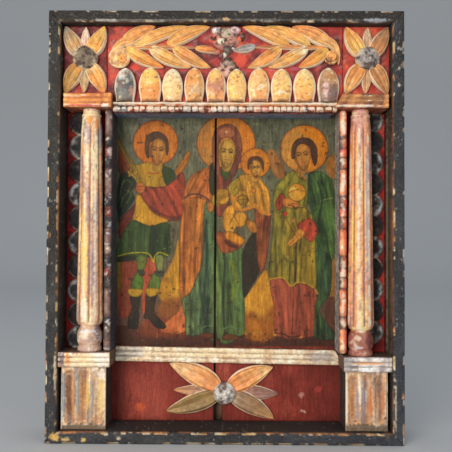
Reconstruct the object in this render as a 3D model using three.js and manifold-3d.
// A devotional picture on two boards, set in a deep wooden case behind a carved surround of pedestals, columns,
// corner flowers and a leafy frieze.
// Millimetres, +Z up. The front faces -Y and X runs to the viewer's right. The origin is the middle of the underside.
// Depths are named T and are measured backwards from the case's front edge.
import * as THREE from "three";
import { mergeVertices } from "three/addons/utils/BufferGeometryUtils.js";
import Module from "manifold-3d";

const wasm = await Module();
wasm.setup();

// The case
const CASE_W = 400;
const CASE_H = 485;
const CASE_D = 68;
const PLANK = 13;
const FRONT_ARRIS = 1.3;
const BACK_ARRIS = 0.6;

// Clearance between neighbouring pieces, and how far a carved surface may be evened out where forms meet
const FIT = 0.3;
const EVEN_OUT = 0.18;

// The two boards: their painted face, thickness, open joint and hidden half-lap
const FACE_T = 46;
const BOARD = 14;
const JOINT_X = -12.2;
const JOINT_W = 2.5;
const LAP_W = 11.5;
const NOTCH_W = 8;
const NOTCH_H = 26;

// Pedestals and caps, which stand a little lower on the right. Widths and gaps at the sides are measured from the
// case's inner faces, because the two sides of the surround differ.
const PEDESTAL_T = 9;
const CAP_T = 4.5;
const CAP_H = 16.2;
const LEFT = {
  side: -1,
  capTop: 100.2,
  capW: 57.9,
  pedestalGap: 3,
  pedestalW: 50,
  blockW: 50.5,
  impostFlare: 0,
  impostW: 53.9,
  scaleDrop: 11.9,
  scalePitch: 28.1,
};
const RIGHT = {
  side: 1,
  capTop: 96.6,
  capW: 53.5,
  pedestalGap: 4,
  pedestalW: 47,
  blockW: 53,
  impostFlare: 9,
  impostW: 51.5,
  scaleDrop: 8.6,
  scalePitch: 24.7,
};
const FLUTES = 3;
const FLUTE_W = 12.6;
const FLUTE_DEPTH = 3.6;
const FLUTE_FOOT = 5;
const FLUTE_HEAD = 3.5;

// Columns
const COLUMN_IN = 32.5;
const COLUMN_T = 19.6;
const SHAFT_FOOT_R = 15.2;
const SHAFT_HEAD_R = 11.7;
const BASE_R = 13.8;
const BASE_H = 28.5;
const NECK_R = 10.4;
const NECK_H = 9;
const REEDS = 8;
const REED_GROOVE = 1.7;

// Entablature
const ENTABLATURE_T = 15;
const FRIEZE_H = 99.8;
const IMPOST_T = 3.5;
const IMPOST_H = 16;
const IMPOST_GAP = 4;
const IMPOST_UP = 4.2;
const BEAD_ROW_H = 6.9;
const BEAD_PITCH = 8;
const BEAD_RISE = 7;
const ROLL_H = 5.6;
const ROLL_RISE = 8;
const TONGUES = 10;
const TONGUE_H = 38.4;
const TONGUE_RISE = 10;
const LEAF_RISE = 8.5;
const VOLUTE_R = 9.4;

// Corner flowers
const CORNER_BOSS_R = 14.4;
const CORNER_BOSS_RISE = 12;
const CORNER_PETAL_HALF = 9.6;
const CORNER_PETAL_RISE = 8;

// Strips beside the painting
const OPENING_IN = 57.2;
const BEAD_STRIP_W = 8.4;
const BEAD_STRIP_T = 12;
const SCALE_T = 38;
const SCALE_IN = 16.8;
const SCALE_R = 14.8;
const SCALE_RISE = 4.5;

// Sill and the flower below it
const SILL_PROUD = 8;
const SILL_H = 17.4;
const SILL_OVER_CAP = 1.6;
const SILL_REEDS = 4;
const FLOWER_X = -0.3;
const FLOWER_Z = 49;
const FLOWER_REACH = 67;
const FLOWER_BOSS_R = 13;
const FLOWER_BOSS_RISE = 12;
const PETAL_RISE = 6.5;

const innerHalf = CASE_W / 2 - PLANK;
const floorZ = PLANK + FIT;
const topZ = CASE_H - PLANK - FIT;
const backT = FACE_T - FIT;
const friezeZ = topZ - FRIEZE_H;
const impostZ = friezeZ + IMPOST_UP;
const columnX = innerHalf - COLUMN_IN;
const scaleX = innerHalf - SCALE_IN;
const openingHalf = innerHalf - OPENING_IN;
const impostOuter = innerHalf - IMPOST_GAP;
const capInner = (s) => innerHalf - FIT - s.capW;
const blockInner = (s) => innerHalf - FIT - s.blockW;
const impostInner = (s) => impostOuter - s.impostW;

const yAt = (t) => t - CASE_D / 2;

// Meshes and solids

function geometryOf(points, faces) {
  const geometry = new THREE.BufferGeometry();
  geometry.setAttribute("position", new THREE.Float32BufferAttribute(points.flat(), 3));
  geometry.setIndex(faces);
  return geometry;
}

function solidOf(geometry) {
  const bare = geometry.clone();
  bare.deleteAttribute("normal");
  bare.deleteAttribute("uv");
  const merged = mergeVertices(bare, 1e-4);
  const triVerts = new Uint32Array(merged.index.array);
  const vertProperties = new Float32Array(merged.attributes.position.array);
  const solid = new wasm.Manifold(new wasm.Mesh({ numProp: 3, vertProperties, triVerts }));
  if (solid.volume() > 0) return solid;
  for (let i = 0; i < triVerts.length; i += 3) {
    [triVerts[i + 1], triVerts[i + 2]] = [triVerts[i + 2], triVerts[i + 1]];
  }
  return new wasm.Manifold(new wasm.Mesh({ numProp: 3, vertProperties, triVerts }));
}

const join = (solids) => solids.reduce((whole, next) => whole.add(next));
const cut = (solid, tools) => tools.reduce((left, tool) => left.subtract(tool), solid);

// Carved wood is solid all through: this fills the slivers of space that crossing forms seal in.
const filled = (solid) => join(solid.decompose().filter((skin) => skin.volume() > 0));

// A closed skin through rings of equal length, each end closed on its own middle point.
function loft(rings) {
  const n = rings[0].length;
  const points = rings.flat();
  const faces = [];
  for (let r = 0; r + 1 < rings.length; r += 1) {
    for (let i = 0; i < n; i += 1) {
      const a = r * n + i;
      const b = r * n + ((i + 1) % n);
      faces.push(a, b, b + n, a, b + n, a + n);
    }
  }
  for (const [ring, first] of [
    [0, true],
    [rings.length - 1, false],
  ]) {
    const middle = points.length;
    points.push([0, 1, 2].map((k) => rings[ring].reduce((sum, p) => sum + p[k] / n, 0)));
    for (let i = 0; i < n; i += 1) {
      const a = ring * n + i;
      const b = ring * n + ((i + 1) % n);
      faces.push(...(first ? [middle, b, a] : [middle, a, b]));
    }
  }
  return solidOf(geometryOf(points, faces));
}

function block(x0, x1, t0, t1, z0, z1) {
  const box = new THREE.BoxGeometry(x1 - x0, t1 - t0, z1 - z0);
  return solidOf(box.translate((x0 + x1) / 2, yAt((t0 + t1) / 2), (z0 + z1) / 2));
}

const shapeOf = (points) => new THREE.Shape(points.map(([a, b]) => new THREE.Vector2(a, b)));

// An outline in X and Z, carried back from depth t0 to t1.
function plate(outline, t0, t1) {
  const geometry = new THREE.ExtrudeGeometry(shapeOf(outline), { depth: t1 - t0, bevelEnabled: false });
  return solidOf(geometry.rotateX(Math.PI / 2).translate(0, yAt(t1), 0));
}

// A section in T and Z, carried along X.
function moulding(section, x0, x1) {
  const rings = [x0, x1].map((x) => section.map(([t, z]) => [x, yAt(t), z]));
  return loft(rings);
}

// A round turned form on an upright axis, from pairs of radius and height.
function turned(x, t, profile, segments) {
  const points = profile.map(([r, z]) => new THREE.Vector2(r, z));
  const lathe = new THREE.LatheGeometry(points, segments).rotateX(Math.PI / 2);
  return solidOf(lathe.translate(x, yAt(t), 0));
}

// A round knob whose axis points to the front, from pairs of radius and rise above the ground at depth t.
function knob(x, z, t, profile, segments) {
  const points = profile.map(([r, rise]) => new THREE.Vector2(r, rise));
  const lathe = new THREE.LatheGeometry(points, segments).rotateX(Math.PI);
  return solidOf(lathe.translate(x, yAt(t), z));
}

// Carving

// Width of a leaf as a share of its widest, at share s of its length. It is fullest nearer the base.
const LEAF_FULLEST = 0.75;
const LEAF_FULLNESS = 0.62;
const leafOutline = (s) => Math.max(0.1, Math.sin(Math.PI * s ** LEAF_FULLEST) ** LEAF_FULLNESS);

// A leaf or petal carved on the ground at depth t: two rounded flanks and a hollow along the middle.
// Its middle line is bowed sideways, to the left of the way from base to tip.
function leaf({ base, tip, half, bow = 0, rise, t, edge = 0.35, sink = 1, stations = 5 }) {
  const [dx, dz] = [tip[0] - base[0], tip[1] - base[1]];
  const length = Math.hypot(dx, dz);
  const across = [-dz / length, dx / length];
  const rings = [];
  for (let k = 0; k < stations; k += 1) {
    const s = k / (stations - 1);
    const shift = 4 * bow * s * (1 - s);
    const x = base[0] + dx * s + across[0] * shift;
    const z = base[1] + dz * s + across[1] * shift;
    const w = half * leafOutline(s);
    const h = rise * (0.55 + 0.45 * Math.sin(Math.PI * s ** 0.7));
    const section = [
      [-w, -sink],
      [-w, edge * h],
      [-0.55 * w, h],
      [0, 0.62 * h],
      [0.55 * w, h],
      [w, edge * h],
      [w, -sink],
    ];
    rings.push(section.map(([a, up]) => [x + across[0] * a, yAt(t - up), z + across[1] * a]));
  }
  return loft(rings);
}

// A rounded profile of the given radius, rise and edge height, from the axis round to the axis.
function domeProfile(radius, rise, edge, sink, steps) {
  const profile = [[0, -sink], [radius, -sink]];
  for (let k = 0; k <= steps; k += 1) {
    const a = (k / steps) * (Math.PI / 2);
    profile.push([radius * Math.cos(a), edge + (rise - edge) * Math.sin(a)]);
  }
  return profile;
}

const reedWave = (share, count, depth) => depth * Math.abs(Math.cos(Math.PI * share * count));

// The front of a bar cut into reeds, as a section in T and Z from the foot to the head, closed at its back.
function reededSection(frontT, rearT, z0, height, reeds, depth) {
  const steps = reeds * 4;
  const section = [[rearT, z0]];
  for (let k = 0; k <= steps; k += 1) {
    const share = k / steps;
    section.push([frontT + reedWave(share, reeds, depth) ** 2 / depth, z0 + height * share]);
  }
  section.push([rearT, z0 + height]);
  return section;
}

// The case

// One mitred rail. Its section is given as distance in from the outside and depth, and at each end it is cut at
// 45 degrees, half the clearance short of the corner's diagonal.
function rail(place) {
  const [f, b] = [FRONT_ARRIS, BACK_ARRIS];
  const section = [
    [f, 0],
    [PLANK - f, 0],
    [PLANK, f],
    [PLANK, CASE_D - b],
    [PLANK - b, CASE_D],
    [b, CASE_D],
    [0, CASE_D - b],
    [0, f],
  ];
  const rings = [0, 1].map((end) => section.map(([inward, t]) => place(inward, inward + FIT, end, yAt(t))));
  return loft(rings);
}

const rails = {
  rail_bottom: rail((u, m, end, y) => [(end ? 1 : -1) * (CASE_W / 2 - m), y, u]),
  rail_top: rail((u, m, end, y) => [(end ? 1 : -1) * (CASE_W / 2 - m), y, CASE_H - u]),
  rail_left: rail((u, m, end, y) => [-CASE_W / 2 + u, y, end ? CASE_H - m : m]),
  rail_right: rail((u, m, end, y) => [CASE_W / 2 - u, y, end ? CASE_H - m : m]),
};

// The boards

const jointLeft = JOINT_X - JOINT_W / 2;
const jointRight = JOINT_X + JOINT_W / 2;
const lapT = FACE_T + BOARD / 2;
const boardBackT = FACE_T + BOARD;

// A board's section in X and T, carried up the height inside the case.
function board(section) {
  return loft([floorZ, topZ].map((z) => section.map(([x, t]) => [x, yAt(t), z])));
}

function leftBoard() {
  return board([
    [-innerHalf + FIT, FACE_T],
    [jointLeft, FACE_T],
    [jointLeft, lapT + FIT],
    [jointLeft + LAP_W, lapT + FIT],
    [jointLeft + LAP_W, boardBackT],
    [-innerHalf + FIT, boardBackT],
  ]);
}

function rightBoard() {
  const whole = join([
    block(jointRight, innerHalf - FIT, FACE_T, lapT, floorZ, topZ),
    block(jointLeft + LAP_W + FIT, innerHalf - FIT, lapT - 1, boardBackT, floorZ, topZ),
  ]);
  const notch = block(jointRight - 1, jointRight + NOTCH_W, FACE_T - 1, lapT + FIT, floorZ - 1, floorZ + NOTCH_H);
  return cut(whole, [notch]);
}

// Pedestals and caps

function pedestal({ side, capTop, pedestalGap, pedestalW }) {
  const top = capTop - CAP_H - FIT;
  const outer = innerHalf - pedestalGap;
  const [x0, x1] = [side * outer, side * (outer - pedestalW)].sort((a, b) => a - b);
  const shaft = block(x0, x1, PEDESTAL_T, backT, floorZ, top);
  const half = FLUTE_W / 2;
  const radius = (half ** 2 + FLUTE_DEPTH ** 2) / (2 * FLUTE_DEPTH);
  const axisT = PEDESTAL_T + FLUTE_DEPTH - radius;
  const foot = floorZ + FLUTE_FOOT;
  const head = top - FLUTE_HEAD - half;
  const fillet = (pedestalW - FLUTES * FLUTE_W) / (FLUTES + 1);
  const flutes = [];
  for (let k = 0; k < FLUTES; k += 1) {
    const x = x0 + fillet + half + k * (FLUTE_W + fillet);
    const profile = [[0, foot], [radius, foot + half / 2], [radius, head]];
    for (let a = 1; a <= 3; a += 1) {
      const turn = (a / 3) * (Math.PI / 2);
      profile.push([radius * Math.cos(turn), head + radius * Math.sin(turn)]);
    }
    flutes.push(turned(x, axisT, profile, 20));
  }
  return cut(shaft, flutes);
}

function pedestalCap(s) {
  const section = reededSection(CAP_T, backT, s.capTop - CAP_H, CAP_H, 3, 1.6);
  const [x0, x1] = [s.side * capInner(s), s.side * (innerHalf - FIT)].sort((a, b) => a - b);
  return moulding(section, x0, x1);
}

// Columns

const shaftFootZ = (s) => s.capTop + FIT + BASE_H;
const columnHeadZ = impostZ - FIT;

function columnBase(x, z0) {
  const profile = [
    [0, 0],
    [1, 0],
    [1, 0.17],
    [0.93, 0.24],
    [1.02, 0.45],
    [1, 0.78],
    [0.74, 1],
    [0, 1],
  ].map(([r, z]) => [r * BASE_R, z0 + z * BASE_H]);
  return turned(x, COLUMN_T, profile, 12);
}

function columnNeck(x) {
  const z0 = columnHeadZ - NECK_H;
  const profile = [
    [0, -0.2],
    [0.92, -0.2],
    [1.06, 0.16],
    [1.06, 0.36],
    [0.92, 0.5],
    [0.96, 1],
    [0, 1],
  ].map(([r, z]) => [r * NECK_R, z0 + z * NECK_H]);
  return turned(x, COLUMN_T, profile, 12);
}

// The reeded shaft: flat-crowned reeds between narrow grooves, tapering upwards, with rounded lower ends.
function columnShaft(x, z0) {
  const z1 = columnHeadZ - NECK_H;
  const height = z1 - z0;
  const stations = [
    [-0.008, 0.7],
    [0.004, 0.86],
    [0.026, 1],
    [0.5, 1],
    [0.93, 1],
    [1.005, 0.9],
  ];
  const rings = stations.map(([share, swell]) => {
    const radius = (SHAFT_FOOT_R + (SHAFT_HEAD_R - SHAFT_FOOT_R) * share) * swell;
    const ring = [];
    for (let k = 0; k < REEDS; k += 1) {
      for (const [turn, deep] of [[0, 1], [0.17, 0.12], [0.5, 0], [0.83, 0.12]]) {
        const a = ((k + turn + 0.38) / REEDS) * 2 * Math.PI;
        const r = radius - REED_GROOVE * deep * swell;
        ring.push([x + r * Math.sin(a), yAt(COLUMN_T) + r * Math.cos(a), z0 + height * share]);
      }
    }
    return ring;
  });
  return loft(rings);
}

function column(s) {
  const x = s.side * columnX;
  return join([columnBase(x, s.capTop + FIT), columnShaft(x, shaftFootZ(s)), columnNeck(x)]);
}

// Imposts

// The impost's outline in X and Z, grown by a margin and carried on below its foot. Its inner end leans inwards
// towards the foot.
function impostOutline(s, margin, below) {
  const { side } = s;
  const top = impostZ + IMPOST_H + margin;
  const head = impostInner(s) - margin;
  const foot = head - s.impostFlare;
  const outer = impostOuter + 20 * margin;
  return [
    [side * foot, impostZ - below],
    [side * outer, impostZ - below],
    [side * outer, top],
    [side * head, top],
    [side * foot, impostZ],
  ];
}

function impost(s) {
  const section = reededSection(IMPOST_T, backT, impostZ, IMPOST_H, 3, 1.5);
  const inner = impostInner(s) - s.impostFlare - 1;
  const reach = [s.side * inner, s.side * impostOuter].sort((a, b) => a - b);
  return moulding(section, ...reach).intersect(plate(impostOutline(s, 0, 1), 0, backT + 1));
}

// The frieze

// One leafy branch as leaves from base to tip. X is a share of half the frieze's width, Z of half the garland's
// height, and a leaf's half width is a share of the garland's height.
const BRANCH_LEFT = [
  { base: [-0.873, 0.034], tip: [-0.594, 0.964], half: 0.201 },
  { base: [-0.766, 0.008], tip: [-0.31, 0.964], half: 0.18 },
  { base: [-0.492, 0.063], tip: [-0.132, 0.956], half: 0.205 },
  { base: [-0.844, -0.042], tip: [-0.521, -0.985], half: 0.184 },
  { base: [-0.643, -0.013], tip: [-0.287, -0.985], half: 0.189 },
  { base: [-0.442, 0.017], tip: [-0.125, -0.985], half: 0.189 },
  { base: [-0.256, -0.059], tip: [-0.041, -0.26], half: 0.084 },
];
const BRANCH_RIGHT = [
  { base: [0.902, 0.034], tip: [0.569, 0.964], half: 0.205 },
  { base: [0.72, 0.059], tip: [0.334, 0.956], half: 0.184 },
  { base: [0.544, 0.034], tip: [0.15, 0.964], half: 0.184 },
  { base: [0.869, -0.075], tip: [0.622, -0.956], half: 0.184 },
  { base: [0.702, -0.013], tip: [0.365, -0.973], half: 0.189 },
  { base: [0.475, -0.013], tip: [0.193, -0.985], half: 0.189 },
  { base: [0.258, 0.059], tip: [0.067, -0.151], half: 0.096 },
];
// The stems that the leaves spring from.
const STEMS = [
  { base: [-0.84, -0.03], tip: [-0.22, -0.03], half: 0.09 },
  { base: [0.86, -0.03], tip: [0.22, 0], half: 0.09 },
];
const SMALL_LEAF = 0.12;
const LEAF_BOW = 2.6;
const VOLUTES = [
  [-0.872, -0.612],
  [0.899, -0.587],
];
// A volute's section, as shares of its radius and rise.
const VOLUTE_PROFILE = [[0, -1], [1, -1], [1, 0.5], [0.86, 0.95], [0.7, 0.6], [0.62, 0.6], [0.4, 1], [0, 1.1]];
// The knot between the branches: small lobes one above another, as height, half width and half height, all as
// shares of half the garland's height.
const KNOT = [
  [0.776, 0.231, 0.21],
  [0.398, 0.21, 0.189],
  [0.042, 0.176, 0.189],
  [-0.335, 0.252, 0.231],
  [-0.776, 0.294, 0.21],
];

function garland(x0, x1) {
  const z0 = friezeZ + BEAD_ROW_H + ROLL_H + TONGUE_H;
  const [halfX, halfZ] = [(x1 - x0) / 2, (topZ - z0) / 2];
  const place = ([x, z]) => [(x0 + x1) / 2 + x * halfX, (z0 + topZ) / 2 + z * halfZ];
  const t = ENTABLATURE_T;
  const solids = [];
  const addLeaf = ({ base, tip, half }, bow, rise, stations) => {
    solids.push(leaf({ base: place(base), tip: place(tip), half: half * 2 * halfZ, bow, rise, t, stations }));
  };
  for (const [branch, bow] of [[BRANCH_LEFT, LEAF_BOW], [BRANCH_RIGHT, -LEAF_BOW]]) {
    for (const part of branch) {
      const large = part.half > SMALL_LEAF;
      addLeaf(part, large ? bow : 0, large ? LEAF_RISE : LEAF_RISE * 0.6, large ? 5 : 4);
    }
  }
  for (const stem of STEMS) addLeaf(stem, 0, LEAF_RISE * 0.8, 4);
  for (const centre of VOLUTES) {
    const [x, z] = place(centre);
    const profile = VOLUTE_PROFILE.map(([r, up]) => [r * VOLUTE_R, up * LEAF_RISE * 0.9]);
    solids.push(knob(x, z, t, profile, 12));
  }
  for (const [z, wide, high] of KNOT) {
    addLeaf({ base: [0, z - high], tip: [0, z + high], half: wide / 2 }, 0, LEAF_RISE * 0.8, 4);
  }
  return solids;
}

// One tongue: a rounded form with a round head, standing on the roll.
function tongue(x, z0, half) {
  const shares = [
    [0, 0.88, 0.85],
    [0.35, 1, 1],
    [0.66, 0.95, 0.98],
    [0.88, 0.7, 0.86],
    [1, 0.28, 0.6],
  ];
  return loft(shares.map(([s, width, swell]) => {
    const w = half * width;
    const h = TONGUE_RISE * swell;
    const section = [[-w, -1], [-w, 0.4 * h], [-0.55 * w, 0.88 * h], [0, h], [0.55 * w, 0.88 * h], [w, 0.4 * h], [w, -1]];
    return section.map(([a, up]) => [x + a, yAt(ENTABLATURE_T - up), z0 + s * TONGUE_H]);
  }));
}

// A row of beads along X: a rounded bar that narrows between one bead and the next.
function beadRow(x0, x1, z0) {
  const beads = Math.round((x1 - x0) / BEAD_PITCH);
  const rings = [];
  for (let k = 0; k <= 2 * beads; k += 1) {
    const full = k % 2 ? 1 : 0.62;
    const x = x0 + ((x1 - x0) * k) / (2 * beads);
    const z = z0 + BEAD_ROW_H / 2;
    const half = (BEAD_ROW_H / 2) * (k % 2 ? 1 : 0.8);
    const section = [[-1, -1], [-1, 0.45], [0, 1], [1, 0.45], [1, -1]];
    rings.push(section.map(([a, up]) => [
      x,
      yAt(ENTABLATURE_T - (up < 0 ? -1 : up * BEAD_RISE * full)),
      z + a * half,
    ]));
  }
  return loft(rings);
}

function roll(x0, x1, z0) {
  const section = [[ENTABLATURE_T + 1, z0]];
  for (let k = 0; k <= 5; k += 1) {
    const a = (k / 5) * Math.PI;
    section.push([ENTABLATURE_T - ROLL_RISE * Math.sin(a) ** 0.6, z0 + (ROLL_H / 2) * (1 - Math.cos(a))]);
  }
  section.push([ENTABLATURE_T + 1, z0 + ROLL_H]);
  return moulding(section, x0, x1);
}

function frieze() {
  const x0 = -blockInner(LEFT) + FIT;
  const x1 = blockInner(RIGHT) - FIT;
  const rowX0 = -impostInner(LEFT) + FIT;
  const rowX1 = impostInner(RIGHT) - FIT;
  const pitch = (rowX1 - rowX0) / TONGUES;
  const solids = [block(x0, x1, ENTABLATURE_T, backT, friezeZ, topZ)];
  solids.push(beadRow(rowX0, rowX1, friezeZ));
  solids.push(roll(rowX0, rowX1, friezeZ + BEAD_ROW_H));
  for (let k = 0; k < TONGUES; k += 1) {
    solids.push(tongue(rowX0 + (k + 0.5) * pitch, friezeZ + BEAD_ROW_H + ROLL_H - 0.5, pitch / 2 - 1));
  }
  const rooms = [LEFT, RIGHT].map((s) => plate(impostOutline(s, FIT, IMPOST_UP + 5), -1, backT + 1));
  const edges = block(x0, x1, 0, backT, friezeZ, topZ);
  return cut(join([...solids, ...garland(x0, x1)]).intersect(edges), rooms);
}

// Corner blocks

function cornerBlock(s) {
  const [inner, outer] = [blockInner(s), innerHalf - FIT];
  const [x0, x1] = [s.side * inner, s.side * outer].sort((a, b) => a - b);
  const z0 = impostZ + IMPOST_H + FIT;
  const [x, z] = [(x0 + x1) / 2, (z0 + topZ) / 2];
  const [reachX, reachZ] = [(outer - inner) / 2 - 3.5, (topZ - z0) / 2 - 1.5];
  const t = ENTABLATURE_T;
  const solids = [block(x0, x1, t, backT, z0, topZ)];
  for (const up of [-1, 1]) {
    for (const across of [-1, 1]) {
      solids.push(leaf({
        base: [x + across * 6, z + up * 6],
        tip: [x + across * reachX, z + up * reachZ],
        half: CORNER_PETAL_HALF,
        bow: across * up * -1.5,
        rise: CORNER_PETAL_RISE,
        t,
      }));
    }
    solids.push(leaf({
      base: [x, z + up * 10],
      tip: [x, z + up * reachZ],
      half: CORNER_PETAL_HALF * 0.6,
      rise: CORNER_PETAL_RISE * 0.7,
      t,
      stations: 5,
    }));
  }
  solids.push(knob(x, z, t, domeProfile(CORNER_BOSS_R, CORNER_BOSS_RISE, 4, 1, 3), 16));
  return join(solids);
}

// Strips beside the painting

// The bead and reel pattern from the top down: each piece's length and its share of the full width. The lowest
// piece is a long bead, cut to what is left.
const LONG_BEAD = { length: 30, width: 1, round: 4 };
const SMALL_BEAD = { length: 11.5, width: 0.95, round: 7 };
const REEL = { length: 9, width: 0.8, round: 1.5 };
const BEAD_GAP = 1.6;
const GROUP = [LONG_BEAD, SMALL_BEAD, REEL, SMALL_BEAD];

function beadStrip({ side, capTop }) {
  const sillTop = capTop + (side < 0 ? 0 : SILL_OVER_CAP);
  const z0 = sillTop + FIT;
  const z1 = impostZ - FIT;
  const [x0, x1] = [side * openingHalf, side * (openingHalf + BEAD_STRIP_W)].sort((a, b) => a - b);
  const x = (x0 + x1) / 2;
  const half = BEAD_STRIP_W / 2;
  const coreT = BEAD_STRIP_T + half;
  const rings = [];
  const ring = (z, share) => [
    [x0, yAt(backT), z],
    [x0, yAt(coreT + 1 - share), z],
    [x - half * 0.7 * share, yAt(coreT - half * 0.72 * share), z],
    [x, yAt(coreT - half * share), z],
    [x + half * 0.7 * share, yAt(coreT - half * 0.72 * share), z],
    [x1, yAt(coreT + 1 - share), z],
    [x1, yAt(backT), z],
  ];
  rings.push(ring(z1, 0.3));
  let z = z1 - BEAD_GAP / 2;
  for (let k = 0; z > z0 + 3 * BEAD_GAP; k += 1) {
    const last = z - z0 < LONG_BEAD.length;
    const { length, width, round } = last ? LONG_BEAD : GROUP[k % GROUP.length];
    const foot = Math.max(z - length, z0 + BEAD_GAP);
    rings.push(ring(z - round / 2, width));
    rings.push(ring(foot + round / 2, width));
    rings.push(ring(foot - BEAD_GAP / 2, 0.3));
    z = foot - BEAD_GAP;
  }
  rings.push(ring(z0, 0.3));
  return loft(rings);
}

function scaleStrip({ side, capTop, scaleDrop, scalePitch }) {
  const [z0, z1] = [capTop + FIT, impostZ - FIT];
  const inner = openingHalf + BEAD_STRIP_W + FIT;
  const [x0, x1] = [side * inner, side * (innerHalf - FIT)].sort((a, b) => a - b);
  const solids = [block(x0, x1, SCALE_T, backT, z0, z1)];
  const profile = domeProfile(SCALE_R, SCALE_RISE, 0.9, 1, 2);
  for (let z = z1 - scaleDrop; z > z0; z -= scalePitch) solids.push(knob(side * scaleX, z, SCALE_T, profile, 10));
  const beyond = 2 * SCALE_R;
  const trims = [
    block(x0 - beyond, x1 + beyond, 0, CASE_D, z1, z1 + beyond),
    block(x0 - beyond, x1 + beyond, 0, CASE_D, z0 - beyond, z0),
  ];
  return cut(join(solids), trims);
}

// Sill and predella

function sill() {
  const x0 = -capInner(LEFT) + FIT;
  const x1 = capInner(RIGHT) - FIT;
  const z0 = LEFT.capTop + SILL_OVER_CAP - SILL_H;
  const drop = (RIGHT.capTop - LEFT.capTop) / (x1 - x0);
  const section = reededSection(FACE_T - SILL_PROUD, backT, z0, SILL_H, SILL_REEDS, 1.3);
  const rings = [x0, x1].map((x) => section.map(([t, z]) => [x, yAt(t), z + drop * (x - x0)]));
  return loft(rings);
}

// The petals of the flower, as shares of its reach: tip from its middle, half width and sideways bow.
const PETALS = [
  { tip: [-0.97, 0.478], half: 0.164, bow: -0.037, lift: 1 },
  { tip: [0.843, 0.418], half: 0.157, bow: 0.03, lift: 1 },
  { tip: [-1.022, -0.358], half: 0.142, bow: 0.022, lift: 0.95 },
  { tip: [0.866, -0.478], half: 0.142, bow: 0.022, lift: 0.95 },
  { tip: [-0.896, 0.009], half: 0.09, bow: 0, lift: 0.7 },
  { tip: [0.94, -0.054], half: 0.119, bow: 0, lift: 0.7 },
];
const PETAL_ROOT = 0.06;

function predellaFlower() {
  const place = (x, z) => [FLOWER_X + x * FLOWER_REACH, FLOWER_Z + z * FLOWER_REACH];
  const solids = PETALS.map(({ tip: [x, z], half, bow, lift }) => leaf({
    base: place(x * PETAL_ROOT, z * PETAL_ROOT),
    tip: place(x, z),
    half: half * FLOWER_REACH,
    bow: bow * FLOWER_REACH,
    rise: PETAL_RISE * lift,
    t: backT,
    edge: 0.6,
    sink: 0,
    stations: 6,
  }));
  solids.push(knob(FLOWER_X, FLOWER_Z, backT, domeProfile(FLOWER_BOSS_R, FLOWER_BOSS_RISE, 5, 0, 3), 16));
  return join(solids);
}

// Finishes

const finish = (color, roughness, metalness = 0) => new THREE.MeshStandardMaterial({ color, roughness, metalness });
const BLACK_PAINT = finish(0x2c2a28, 0.6);
const PANEL_PAINT = finish(0x5a3424, 0.5);
const GILDING = finish(0xb5873f, 0.45, 0.35);
const SILVERING = finish(0x8b8578, 0.5, 0.3);
const RED_GROUND = finish(0x7a2822, 0.6);

const icon = new THREE.Group();

function addPiece(name, solid, material) {
  const mesh = filled(solid.simplify(EVEN_OUT)).getMesh();
  const geometry = new THREE.BufferGeometry();
  const points = new Float32Array(mesh.numVert * 3);
  for (let i = 0; i < mesh.numVert; i += 1) {
    points.set(mesh.vertProperties.subarray(i * mesh.numProp, i * mesh.numProp + 3), i * 3);
  }
  geometry.setAttribute("position", new THREE.BufferAttribute(points, 3));
  geometry.setIndex(new THREE.BufferAttribute(new Uint32Array(mesh.triVerts), 1));
  geometry.computeVertexNormals();
  const piece = new THREE.Mesh(geometry, material);
  piece.name = name;
  icon.add(piece);
}

for (const [name, solid] of Object.entries(rails)) addPiece(name, solid, BLACK_PAINT);
addPiece("board_left", leftBoard(), PANEL_PAINT);
addPiece("board_right", rightBoard(), PANEL_PAINT);
for (const [word, s] of [["left", LEFT], ["right", RIGHT]]) {
  addPiece(`pedestal_${word}`, pedestal(s), GILDING);
  addPiece(`pedestal_cap_${word}`, pedestalCap(s), GILDING);
  addPiece(`column_${word}`, column(s), GILDING);
  addPiece(`impost_${word}`, impost(s), GILDING);
  addPiece(`corner_block_${word}`, cornerBlock(s), RED_GROUND);
  addPiece(`bead_strip_${word}`, beadStrip(s), GILDING);
  addPiece(`scale_strip_${word}`, scaleStrip(s), RED_GROUND);
}
addPiece("frieze", frieze(), GILDING);
addPiece("sill", sill(), SILVERING);
addPiece("predella_flower", predellaFlower(), GILDING);

export default icon;
